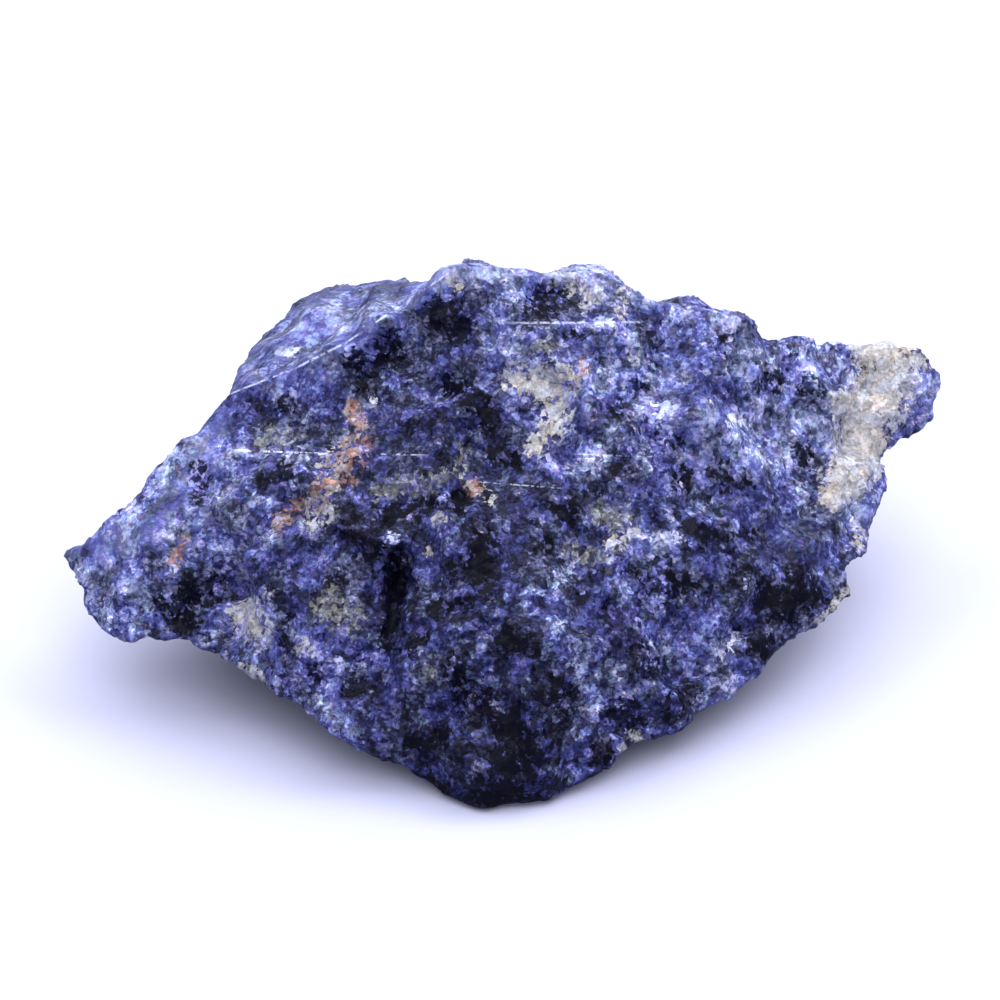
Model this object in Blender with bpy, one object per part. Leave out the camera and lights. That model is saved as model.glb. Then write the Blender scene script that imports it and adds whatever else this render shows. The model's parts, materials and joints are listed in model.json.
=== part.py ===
"""A lump of rough sodalite: one broken stone that rests on a small flat spot.

The stone is one solid. Its corners are set out by hand, and joined into two skins that share a rim: the
broad broken face in front, and the back with the underside. That blank is then flaked: each flake is a small
tilted plane, in three sizes, as a blow leaves them. Last come the deep slot and pit, and the flat spot.

Frame: +Z up, +X along the stone's long side, -Y in front of its broad face. The origin is under the middle of
the stone, at the level of the flat spot.
"""

import math

import bmesh
import bpy
import numpy as np
from mathutils import Vector, noise
from mathutils.geometry import delaunay_2d_cdt

MM = 0.001

NAME = "rough_sodalite"

# The broad face is set out on a plane that leans back. A corner on it is (across, rise, out) in millimetres:
# across to the right, rise up the plane, and out towards the front.
LEAN = math.radians(30)
PLANE_HEIGHT = 18.0

# The rim, clockwise from the left tip: where the broad face turns over to the back.
RIM = {
    "left_tip": (-45, -5, -0.5),
    "wing_top_1": (-41, -3.5, 1.5),
    "wing_top_2": (-37, 0, 3),
    "wing_top_3": (-35, 3.5, 2),
    "wing_top_4": (-31.5, 7, 2.5),
    "crest_foot": (-28, 10.5, 1),
    "shoulder_1": (-25.5, 15, -9),
    "shoulder_2": (-23.5, 18, -15),
    "shoulder_3": (-21, 21, -20.5),
    "shoulder_4": (-19, 22.5, -20.5),
    "shoulder_5": (-15.5, 22.5, -17),
    "shoulder_6": (-10, 22.5, -10),
    "shoulder_7": (-7.5, 21.5, -3.5),
    "peak_left": (-5.5, 22.5, 7.5),
    "peak": (-3.5, 23, 8),
    "peak_right": (-1.5, 22.5, 6.5),
    "top_1": (1.5, 22.5, 5.5),
    "top_2": (6, 23, 4.5),
    "top_3": (10.5, 23, 3.5),
    "top_4": (14, 21, 3),
    "top_5": (19, 19, 1.5),
    "step_upper": (23.5, 18.5, 0),
    "step_edge": (25.2, 17.8, -1),
    "step_lower": (26.5, 16.5, -3),
    "horn_top_1": (31, 16.5, -6.5),
    "horn_top_2": (36.5, 16.5, -11.5),
    "horn_top_3": (39.5, 16.5, -12),
    "horn_top_4": (43.5, 15.5, -13),
    "right_tip": (46, 12.7, -14),
    "right_tip_dent": (45, 10.5, -14),
    "right_tip_knob": (45, 8, -13),
    "notch_upper_lip": (41, 6, -12),
    "upper_notch": (39, 4.5, -10.5),
    "notch_lower_lip": (40, 1.5, -9.5),
    "right_edge_1": (38.5, -1, -8),
    "right_edge_2": (37, -5.5, -4),
    "lower_notch": (35, -6.5, -2),
    "right_knob": (36, -9.5, -0.5),
    "keel_right_1": (33.5, -11.5, 1),
    "keel_right_2": (29.5, -14, 3),
    "keel_right_3": (26, -16.5, 5.5),
    "keel_right_4": (23.5, -19.5, 8.5),
    "keel_right_5": (19.5, -21, 9.5),
    "keel_right_6": (13.5, -25, 13),
    "keel_right_7": (8.5, -27, 14),
    "foot_right": (4.5, -28.6, 15.4),
    "foot": (1, -29.1, 16.0),
    "foot_left": (-2, -29, 16.0),
    "keel_left_1": (-6, -27.5, 14.5),
    "keel_left_2": (-10.5, -25, 14.5),
    "keel_left_3": (-15, -23.5, 16),
    "keel_left_4": (-19.5, -21, 14),
    "keel_left_5": (-24.5, -18, 11.5),
    "keel_left_6": (-28, -16, 9.5),
    "wing_root": (-30.5, -14.5, 8.5),
    "wing_under_1": (-36.5, -14, 6),
    "wing_under_2": (-39, -13, 5),
    "wing_end_1": (-41, -10.8, 3.5),
    "wing_end_2": (-43, -8, 1),
}

# Corners within the broad face, and the sharp crest that parts it from the shoulder behind.
FACE = {
    "crest_1": (-25, 12, 2.5),
    "crest_2": (-20, 13.5, 5),
    "crest_3": (-15.5, 15.5, 7),
    "crest_4": (-11, 18, 8),
    "crest_5": (-7, 20.5, 8.5),
    "wing_ridge_1": (-40, -5, 3.5),
    "wing_ridge_2": (-34.5, -2.5, 6),
    "wing_ridge_3": (-30.5, -0.5, 6),
    "wing_slope": (-32, 4, 3.5),
    "wing_front_1": (-37.5, -10, 6),
    "wing_front_2": (-33, -10, 7),
    "wing_valley_1": (-29.5, -11, 6),
    "wing_valley_2": (-26.5, -7, 5.5),
    "rib_1": (-21.5, -2, 10.5),
    "rib_2": (-19.5, -8.5, 14),
    "rib_3": (-18, -15.5, 17),
    "left_cheek": (-24.5, -12.5, 11),
    "under_crest_1": (-26, 5.5, 4.5),
    "under_crest_2": (-17, 10, 6.5),
    "under_crest_3": (-10, 14, 6),
    "under_peak": (-4.5, 18.5, 6),
    "spur_1": (-1.5, 21, 8),
    "spur_2": (2, 17.5, 8),
    "top_hollow": (6, 20, 4),
    "top_swell_1": (10, 17, 6),
    "top_swell_2": (18, 16, 3.5),
    "brow_left": (-15, 5, 10),
    "brow_middle": (-8, 3, 12.5),
    "gully_1": (-3, 10, 8.5),
    "gully_2": (-1, 6, 7.5),
    "brow_right_1": (6, 10, 9),
    "brow_right_2": (13.5, 8, 7.5),
    "middle_left": (-13.5, -4, 13.5),
    "middle_1": (-5, -6, 16),
    "middle_2": (4, 2, 11.5),
    "middle_3": (5.5, -8, 15.5),
    "middle_4": (10.5, -2, 12),
    "belly_1": (-10.5, -9.5, 14.5),
    "belly_2": (0, -11.5, 18),
    "belly_3": (11.5, -13.5, 15.5),
    "chin_1": (-11.5, -19.5, 17.5),
    "chin_2": (-7, -17.5, 18.5),
    "chin_3": (-1, -22, 18),
    "chin_4": (5.5, -18.5, 18.5),
    "chin_5": (9.5, -21.5, 16),
    "right_shelf_1": (22, 8, 3),
    "right_shelf_2": (26, 14, -1),
    "right_shelf_3": (30.5, 10, -6),
    "right_shelf_4": (19.5, 0, 7),
    "right_shelf_5": (26.5, -2, 3),
    "horn_face_1": (35.5, 3, -6),
    "horn_face_2": (40.5, 10.5, -10),
    "horn_face_3": (33, -4, -1.5),
    "right_cheek_1": (18.5, -11.5, 11.5),
    "right_cheek_2": (17.5, -17.5, 12),
    "right_cheek_3": (24.5, -10, 7),
    "right_cheek_4": (29.5, -9, 3),
}

# Edges that stay sharp across the broad face.
FACE_EDGES = [
    ["crest_foot", "crest_1", "crest_2", "crest_3", "crest_4", "crest_5", "peak_left"],
    ["left_tip", "wing_ridge_1", "wing_ridge_2", "wing_ridge_3"],
    ["rib_1", "rib_2", "rib_3", "keel_left_3"],
    ["peak", "spur_1", "spur_2"],
]

# Corners of the back and the underside, as (x, y, z) in millimetres above the flat spot. The sole lies a
# little below it, so that the cut there leaves the flat spot.
BACK = {
    "back_shoulder": (-21, 29, 17),
    "back_crest_left": (-3, 26, 27.5),
    "back_crest_right": (14, 28, 22),
    "back_corner": (31, 29, 16),
    "back_left_low": (-24, 22, 7),
    "back_middle_low": (-3, 29, 6),
    "back_right_low": (20, 27, 6),
    "wing_back": (-36, 6, 12),
    "wing_tip_back": (-41.5, 2, 11),
    "wing_tip_under": (-38, -5, 8),
    "wing_belly": (-31, -1, 7),
    "left_belly": (-22, -6, 3.5),
    "right_belly": (24, 3, 4),
    "horn_belly": (34, 16, 10),
    "horn_back": (38, 26, 17),
    "horn_tip_back": (43, 23, 17),
    "under_front": (0, -15, 1.5),
    "under_front_left": (-11, -12, 1.8),
    "under_front_right": (11, -12, 1.8),
    "sole_1": (-6, -8, -0.5),
    "sole_2": (-12, 1, -0.5),
    "sole_3": (-6, 13, -0.5),
    "sole_4": (8, 13, -0.5),
    "sole_5": (13, 1, -0.5),
    "sole_6": (7, -8, -0.5),
}
BACK_EDGES = [
    ["back_shoulder", "back_crest_left", "back_crest_right", "back_corner"],
    ["back_left_low", "back_middle_low", "back_right_low"],
    ["sole_1", "sole_2", "sole_3", "sole_4", "sole_5", "sole_6", "sole_1"],
]

# Where a facet of the back hangs between rim corners alone, its middle lies this far behind them, in millimetres.
RIM_THICKNESS = 2.5

# Flakes: (size, how far one tilts out of the surface, which pattern), in millimetres. The sharper their edges,
# the faster one gives way to the next. A pattern is the same cells read from another place, so many steps away.
# The surface's direction and the flakes' lift are evened out over so many rounds of neighbours, so that no flake
# crosses another or stands up as a fin.
FLAKES = [(14.0, 2.4, 11), (7.0, 2.3, 23), (3.6, 1.6, 37)]
FLAKE_SHARPNESS = 14.0
PATTERN_STEP = Vector((7.3, 3.1, 5.7))
TILT_SCATTER = 17.0
NORMAL_ROUNDS = 60
LIFT_ROUNDS = 2

# Near the rim and near the sole the flakes flatten out, over these distances in millimetres, down to these shares:
# there the corners set out by hand give the outline, and the sole stays level. The sole faces down at least so far.
RIM_CALM, RIM_KEEPS = 4.5, 0.4
SOLE_CALM, SOLE_KEEPS = 3.0, 0.12
SOLE_FACES = -0.5

# Hollows, as (name, end, other end, radius, depth), the ends as (across, rise) on the layout plane. The higher
# the wall's power, the flatter the hollow's floor and the steeper its sides.
HOLLOW_WALL = 3
HOLLOWS = [
    ("slot", (-9.6, -5.6), (-9.9, -8.8), 1.25, 4.0),
    ("slot_tail", (-10.0, -9.0), (-10.6, -12.6), 0.9, 2.2),
    ("pit", (-3.8, -0.4), (-4.2, 0.6), 1.0, 2.2),
]

VOXEL = 0.5
SMALLEST_STEP = 1e-4
TRIANGLES = 9600
STONE_BLUE = (0.055, 0.065, 0.24, 1.0)


def layout_to_world(across, rise, out):
    """A point of the leaning layout plane, in millimetres of the stone's frame."""
    return Vector(
        (
            across,
            rise * math.sin(LEAN) - out * math.cos(LEAN),
            PLANE_HEIGHT + rise * math.cos(LEAN) + out * math.sin(LEAN),
        )
    )


def out_of_face():
    """The direction that points straight out of the broad face."""
    return Vector((0, -math.cos(LEAN), math.sin(LEAN)))


def world_to_layout(x, y, z):
    """The inverse of layout_to_world."""
    z = z - PLANE_HEIGHT
    return Vector((x, y * math.sin(LEAN) + z * math.cos(LEAN), z * math.sin(LEAN) - y * math.cos(LEAN)))


def skin(rim, inner, chains):
    """Triangles, as corner names, that join the rim and the inner corners on the layout plane."""
    names = list(rim) + list(inner)
    flat = [Vector(point[:2]) for point in (*rim.values(), *inner.values())]
    edges = []
    for chain in chains:
        edges += [(names.index(a), names.index(b)) for a, b in zip(chain, chain[1:])]
    loop = list(reversed(range(len(rim))))
    _, _, faces, origins, _, _ = delaunay_2d_cdt(flat, edges, [loop], 1, SMALLEST_STEP)
    return [[names[origins[corner][0]] for corner in face] for face in faces]


def blank():
    """The stone as flat facets between its corners."""
    back = {name: tuple(world_to_layout(*point)) for name, point in BACK.items()}
    corners = {**RIM, **FACE, **back}
    mesh = bmesh.new()
    made = {name: mesh.verts.new(layout_to_world(*point) * MM) for name, point in corners.items()}
    for face in skin(RIM, FACE, FACE_EDGES):
        mesh.faces.new([made[name] for name in face])
    for face in skin(RIM, back, BACK_EDGES):
        ring = [made[name] for name in reversed(face)]
        if not set(face) <= set(RIM):
            mesh.faces.new(ring)
            continue
        middle = sum((vertex.co for vertex in ring), Vector()) / len(ring)
        behind = mesh.verts.new(middle - out_of_face() * RIM_THICKNESS * MM)
        for first, second in zip(ring, ring[1:] + ring[:1]):
            mesh.faces.new([first, second, behind])
    bmesh.ops.recalc_face_normals(mesh, faces=mesh.faces)
    data = bpy.data.meshes.new(NAME)
    mesh.to_mesh(data)
    mesh.free()
    stone = bpy.data.objects.new(NAME, data)
    bpy.context.scene.collection.objects.link(stone)
    return stone


def apply_modifier(stone, kind, **settings):
    """Adds one modifier, keeps its result as the stone's own mesh, and removes it."""
    modifier = stone.modifiers.new(kind.title(), kind)
    for key, value in settings.items():
        setattr(modifier, key, value)
    graph = bpy.context.evaluated_depsgraph_get()
    data = bpy.data.meshes.new_from_object(stone.evaluated_get(graph))
    stone.modifiers.clear()
    stone.data = data


def revoxel(stone):
    """Even quads of one size over the whole stone, without the crumbs and bubbles where flakes cross."""
    apply_modifier(stone, "REMESH", mode="VOXEL", voxel_size=VOXEL * MM, adaptivity=0.0)
    mesh = bmesh.new()
    mesh.from_mesh(stone.data)
    unseen, shells = set(mesh.verts), []
    while unseen:
        shell, fresh = set(), [unseen.pop()]
        while fresh:
            vertex = fresh.pop()
            shell.add(vertex)
            near = {edge.other_vert(vertex) for edge in vertex.link_edges} & unseen
            unseen -= near
            fresh += near
        shells.append(shell)
    shells.remove(max(shells, key=len))
    bmesh.ops.delete(mesh, geom=[vertex for shell in shells for vertex in shell], context="VERTS")
    mesh.to_mesh(stone.data)
    mesh.free()


def evened(values, edges, rounds):
    """Values at the vertices, each averaged with its neighbours', so many times over."""
    shares = 1 + np.bincount(edges.ravel(), minlength=len(values))
    for _ in range(rounds):
        total = values.copy()
        np.add.at(total, edges[:, 0], values[edges[:, 1]])
        np.add.at(total, edges[:, 1], values[edges[:, 0]])
        values = total / shares[:, None]
    return values


def read(items, name, width, kind=float):
    """One property of a mesh's vertices or edges, as an array with a row for each."""
    values = np.empty(len(items) * width, kind)
    items.foreach_get(name, values)
    return values.reshape(-1, width)


def flake_height(point, pattern):
    """How far a flake stands out at a point, in flake sizes: each cell is a plane with its own tilt."""
    place = point + PATTERN_STEP * pattern
    distances, centres = noise.voronoi(place)
    total, weights = 0.0, 0.0
    for distance, centre in zip(distances, centres):
        tilt = noise.cell_vector(centre * TILT_SCATTER) * 2 - Vector((1, 1, 1))
        weight = math.exp(-FLAKE_SHARPNESS * (distance - distances[0]))
        total += weight * tilt.dot(place - centre)
        weights += weight
    return total / weights


def distance_to_rim(points):
    """How far each point is from the line of the rim, in metres."""
    ends = np.array([layout_to_world(*point) * MM for point in RIM.values()])
    nearest = np.full(len(points), np.inf)
    for start, end in zip(ends, np.roll(ends, -1, axis=0)):
        run = end - start
        along = np.clip((points - start) @ run / (run @ run), 0, 1)
        nearest = np.minimum(nearest, np.linalg.norm(points - start - along[:, None] * run, axis=1))
    return nearest


def flake(stone):
    """Breaks the facets of the blank into flakes of every size."""
    mesh = stone.data
    points = read(mesh.vertices, "co", 3)
    edges = read(mesh.edges, "vertices", 2, int)
    normals = evened(read(mesh.vertices, "normal", 3), edges, NORMAL_ROUNDS)
    normals /= np.linalg.norm(normals, axis=1, keepdims=True)
    lift = np.zeros(len(points))
    for size, tilt, pattern in FLAKES:
        lift += [tilt * flake_height(Vector(point / (size * MM)), pattern) for point in points]
    lift *= np.clip(distance_to_rim(points) / (RIM_CALM * MM), RIM_KEEPS, 1)
    level = np.clip(points[:, 2] / (SOLE_CALM * MM), SOLE_KEEPS, 1)
    lift *= np.where(normals[:, 2] < SOLE_FACES, level, 1)
    lift = evened(lift[:, None], edges, LIFT_ROUNDS)
    mesh.vertices.foreach_set("co", (points + normals * lift * MM).ravel())


def sink_hollows(stone):
    """Presses the slot and the pit into the broad face, straight back from the layout plane."""
    inwards = -out_of_face() * MM
    for vertex in stone.data.vertices:
        across, rise, out = world_to_layout(*(vertex.co / MM))
        if out < 0:
            continue
        sink = 0.0
        for _, end, other, radius, depth in HOLLOWS:
            start, run = Vector(end), Vector(other) - Vector(end)
            place = Vector((across, rise)) - start
            along = min(1.0, max(0.0, place.dot(run) / run.length_squared))
            gap = (place - run * along).length / radius
            sink = max(sink, depth * max(0.0, 1 - gap**HOLLOW_WALL))
        vertex.co += inwards * sink


def cut_flat_spot(stone):
    """Slices the sole off level, which leaves the flat spot, and centres the stone over its origin."""
    mesh = bmesh.new()
    mesh.from_mesh(stone.data)
    everything = mesh.verts[:] + mesh.edges[:] + mesh.faces[:]
    cut = bmesh.ops.bisect_plane(mesh, geom=everything, plane_co=(0, 0, 0), plane_no=(0, 0, -1), clear_outer=True)
    edges = [part for part in cut["geom_cut"] if isinstance(part, bmesh.types.BMEdge)]
    bmesh.ops.triangle_fill(mesh, edges=edges, use_beauty=True, normal=(0, 0, -1))
    bmesh.ops.triangulate(mesh, faces=mesh.faces)
    for axis in (0, 1):
        ends = [vertex.co[axis] for vertex in mesh.verts]
        middle = (min(ends) + max(ends)) / 2
        for vertex in mesh.verts:
            vertex.co[axis] -= middle
    mesh.to_mesh(stone.data)
    mesh.free()


def stone_material():
    """Deep blue broken sodalite, dull with a faint glassy gleam."""
    material = bpy.data.materials.new("sodalite")
    material.use_nodes = True
    shader = material.node_tree.nodes["Principled BSDF"]
    shader.inputs["Base Color"].default_value = STONE_BLUE
    shader.inputs["Roughness"].default_value = 0.5
    shader.inputs["Metallic"].default_value = 0.0
    return material


def main():
    for leftover in list(bpy.data.objects):
        bpy.data.objects.remove(leftover)
    stone = blank()
    revoxel(stone)
    flake(stone)
    sink_hollows(stone)
    revoxel(stone)
    stone.data.calc_loop_triangles()
    share = TRIANGLES / len(stone.data.loop_triangles)
    apply_modifier(stone, "DECIMATE", ratio=share, use_collapse_triangulate=True)
    cut_flat_spot(stone)
    stone.data.materials.append(stone_material())


main()
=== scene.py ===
"""A lump of rough sodalite: broken grain, blues, veins and patches, on a pale floor in soft light."""
import json
import math
from collections import namedtuple

import bpy
import numpy as np
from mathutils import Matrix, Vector

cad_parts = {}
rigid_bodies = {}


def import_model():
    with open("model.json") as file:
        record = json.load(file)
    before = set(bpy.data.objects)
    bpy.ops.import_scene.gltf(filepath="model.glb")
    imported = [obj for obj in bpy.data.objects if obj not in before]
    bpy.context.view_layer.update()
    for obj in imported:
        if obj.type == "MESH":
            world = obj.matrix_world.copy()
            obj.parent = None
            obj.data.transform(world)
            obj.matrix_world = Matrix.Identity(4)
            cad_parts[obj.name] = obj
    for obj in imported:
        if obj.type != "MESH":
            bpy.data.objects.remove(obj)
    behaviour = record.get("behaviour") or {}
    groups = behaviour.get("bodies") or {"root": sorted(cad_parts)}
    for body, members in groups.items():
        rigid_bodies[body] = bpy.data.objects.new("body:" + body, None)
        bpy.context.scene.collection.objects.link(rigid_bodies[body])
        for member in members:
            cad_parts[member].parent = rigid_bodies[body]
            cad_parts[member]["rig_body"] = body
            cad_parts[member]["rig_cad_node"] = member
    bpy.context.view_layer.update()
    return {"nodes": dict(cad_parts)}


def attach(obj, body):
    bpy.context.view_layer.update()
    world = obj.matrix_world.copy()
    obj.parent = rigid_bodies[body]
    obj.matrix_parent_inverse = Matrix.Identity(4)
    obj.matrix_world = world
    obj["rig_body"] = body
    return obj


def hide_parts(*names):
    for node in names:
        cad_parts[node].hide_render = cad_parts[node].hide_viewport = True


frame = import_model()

MM = 0.001
STONE = "rough_sodalite"

# The view of the photo, in mm and degrees. A place on the stone's face is given as this view shows it:
# mm to the right of the middle of the picture and mm above it, at the distance of the aim point.
AIM = Vector((-0.72, -0.90, 18.0))
AIM_DISTANCE = 500.0
ELEVATION = 30.0
LENS = 180.0
SENSOR = 36.0

# The broken surface, in mm: the fine mesh's spacing, and for each pack of grains their size, how far their
# tilted faces rise and fall, and a shift that keeps the packs from lining up. The grain starts a little
# above the flat spot.
MESH_SPACING = 0.415
RELIEF_GRAINS = [(2.8, 0.42, 3.1), (1.4, 0.22, 7.7), (0.75, 0.11, 12.9)]
RELIEF_SOFTNESS = 0.08
RELIEF_WANDER = 0.9
RELIEF_WANDERS_PER_MM = 0.5
RELIEF_STARTS = 0.3
RELIEF_FULL = 1.8
CALM_RELIEF = 0.15
CALM_FULL = 0.6

# The foot of the broad face, in mm: its middle and half width along x, the height it ends at, how far it
# comes forward and down to meet the floor, and the y places where that starts and is full.
FOOT_MIDDLE = -4.0
FOOT_HALF_WIDTH = 10.0
FOOT_HEIGHT = 9.0
FOOT_FORWARD = 1.6
FOOT_DROP = 0.65
FOOT_STARTS = -15.0
FOOT_FULL = -26.0
FLOOR_CLEARANCE = 0.02

# How sharply the view's strokes and thin lines fade where the surface turns away from the camera.
TURN_AWAY = 4.0
STROKES_REACH = 0.6
LINES_REACH = -0.8

# The grains of the colour: size in mm and shift of each pack, and how far the packs are bent, in mm.
COLOUR_GRAINS = {"coarse": (1.3, 0.0), "medium": (0.62, 5.3), "fine": (0.3, 9.1)}
COLOUR_BEND = 0.45
BENDS_PER_MM = 1.6

# The clouds of noise in the colour: how many per mm, their detail and their roughness.
CLOUDS = {
    "wide": (0.16, 3.0, 0.55),
    "hue": (0.28, 3.0, 0.6),
    "middle": (0.42, 4.0, 0.62),
    "ragged": (0.8, 5.0, 0.75),
    "small": (2.3, 3.0, 0.6),
}

# How strongly the ragged clouds and each pack of grains break up the edges of patches. The break reaches in
# fully where a patch has the strength EDGE_FULL, and the patch shows between the strengths of PATCH_SHOWS.
RAGGED_BREAK = 0.85
EDGE_BREAKS = {"coarse": 0.25, "medium": 0.35, "fine": 0.25}
EDGE_STARTS = 0.02
EDGE_FULL = 0.3
EDGE_REACH = 2.0
PATCH_SHOWS = (0.25, 0.75)

# How strongly each pack of grains and the small clouds change the lightness, and how far they stand out of
# the surface, in mm. The lighter grains are partly the grains' own lightness, partly painted glints of their
# cleavage faces.
SPARKLES = {"coarse": 0.17, "medium": 0.24, "fine": 0.2, "small": 0.42}
BUMPS = {"coarse": 0.3, "medium": 0.2, "fine": 0.07, "small": 0.1}

# Changes of lightness, where 0 is the darkest blue and 1 the palest.
MEAN_LIGHTNESS = 0.45
WIDE_CHANGE = 0.35
MIDDLE_CHANGE = 0.62
# The relief change lightens the grain's raised crumbs, which are frosted, and darkens its hollows as painted
# shade.
RELIEF_CHANGE = 0.2
# The stroke change carries the tone strokes, with their painted light and shade.
STROKE_CHANGE = 0.32
CALM_SPARKLE = 0.5
CALM_CHANGES = (0.1, 0.7)
LIGHT_SPARKLE = 0.7
LIGHT_CHANGES = (0.0, 0.7)
# The black patches darken partly as painted shade; the frost patches lighten partly as painted sheen.
PATCH_CHANGES = {"black_and_shade": -0.36, "deep": -0.15, "frost_and_sheen": 0.14, "bright": 0.05}

# Colours from dark to light, each with its place on the scale of lightness.
BLUE = [
    (0.12, (0.0015, 0.0015, 0.008)),
    (0.35, (0.013, 0.015, 0.066)),
    (0.55, (0.052, 0.058, 0.205)),
    (0.75, (0.21, 0.235, 0.49)),
    (1.0, (0.7, 0.74, 0.96)),
]
SLATE = [
    (0.14, (0.0015, 0.0015, 0.005)),
    (0.38, (0.012, 0.014, 0.036)),
    (0.57, (0.065, 0.075, 0.15)),
    (0.78, (0.25, 0.275, 0.45)),
    (1.0, (0.7, 0.73, 0.92)),
]

# What a grain's colour is multiplied by, from a random value of its own: in the blue stone and in the
# other minerals.
HINTS = [(0.0, (1.14, 0.96, 0.93)), (0.5, (1.0, 1.0, 1.0)), (1.0, (0.91, 1.04, 0.98))]
WARMTHS = [(0.0, (1.1, 1.0, 0.86)), (0.5, (1.0, 1.0, 1.0)), (1.0, (0.93, 1.0, 1.14))]

# Clouds and grains turn the blue to slate between two values of hue. Black patches turn it further, and
# deep and bright ones turn it back.
HUE_OF_GRAINS = {"coarse": 0.25, "medium": 0.12}
SLATE_SHOWS = (0.38, 0.6)
BLACK_TURNS = 0.4
BLUE_TURNS_BACK = 0.8

# The thin veins and the painted highlights along the crest: their colour, the multiples of their half width
# between which they fade, how far in mm their ends fade, and where the crumble breaks them, which the last of
# these moves down for a wholly whole line.
VEIN_AND_HIGHLIGHT_COLOUR = (0.6, 0.63, 0.85, 1)
LINE_FADES = (0.4, 1.4)
LINE_ENDS = 1.0
LINE_BREAKS = (0.12, 0.3)
LINE_WHOLE = 0.6

# The other minerals: how fully each covers the blue, and its dark, middle and light colours.
MINERALS = {
    "olive": (0.75, (0.03, 0.033, 0.04), (0.11, 0.113, 0.108), (0.32, 0.32, 0.31)),
    "beige": (0.9, (0.12, 0.12, 0.138), (0.26, 0.253, 0.262), (0.44, 0.43, 0.445)),
    "rust": (0.9, (0.04, 0.025, 0.025), (0.15, 0.07, 0.055), (0.37, 0.195, 0.155)),
    "chalk": (0.8, (0.12, 0.135, 0.24), (0.36, 0.39, 0.57), (0.66, 0.69, 0.85)),
}
PALE_RUST = (0.04, 0.033, 0.038), (0.145, 0.115, 0.118), (0.36, 0.3, 0.3)
PALE_RUST_SHOWS = (0.45, 0.65)
MINERAL_STOPS = (0.05, 0.5, 1.0)
# The sparkle, partly painted glints, also lightens and darkens the other minerals' grains.
MINERAL_SPARKLE = 1.7

# The stone's gloss: glassy grains to dull ones.
ROUGHNESS = (0.35, 0.7)
ROUGHNESS_CHANGES = (0.1, 0.9)
REFLECTION = 0.05

# The lights: place and size in mm, and watts.
LIGHTS = {
    "top light": ((0, 0, 600), 700, 2.9),
    "wide light": ((0, 0, 620), 1500, 7.2),
    "back light": ((0, 620, 520), 900, 5.8),
    "left light": ((-380, 120, 500), 400, 1.9),
    "right light": ((380, 120, 500), 400, 3.3),
    "front light": ((0, -480, 440), 500, 4.5),
}
ROOM_COLOUR = (0.88, 0.92, 1.0, 1)
ROOM_STRENGTH = 0.4
FLOOR_COLOUR = (0.315, 0.325, 0.45, 1)
FLOOR_ROUGHNESS = 0.9
FLOOR_REFLECTION = 0.1
FLOOR_SIZE = 4.0
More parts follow.
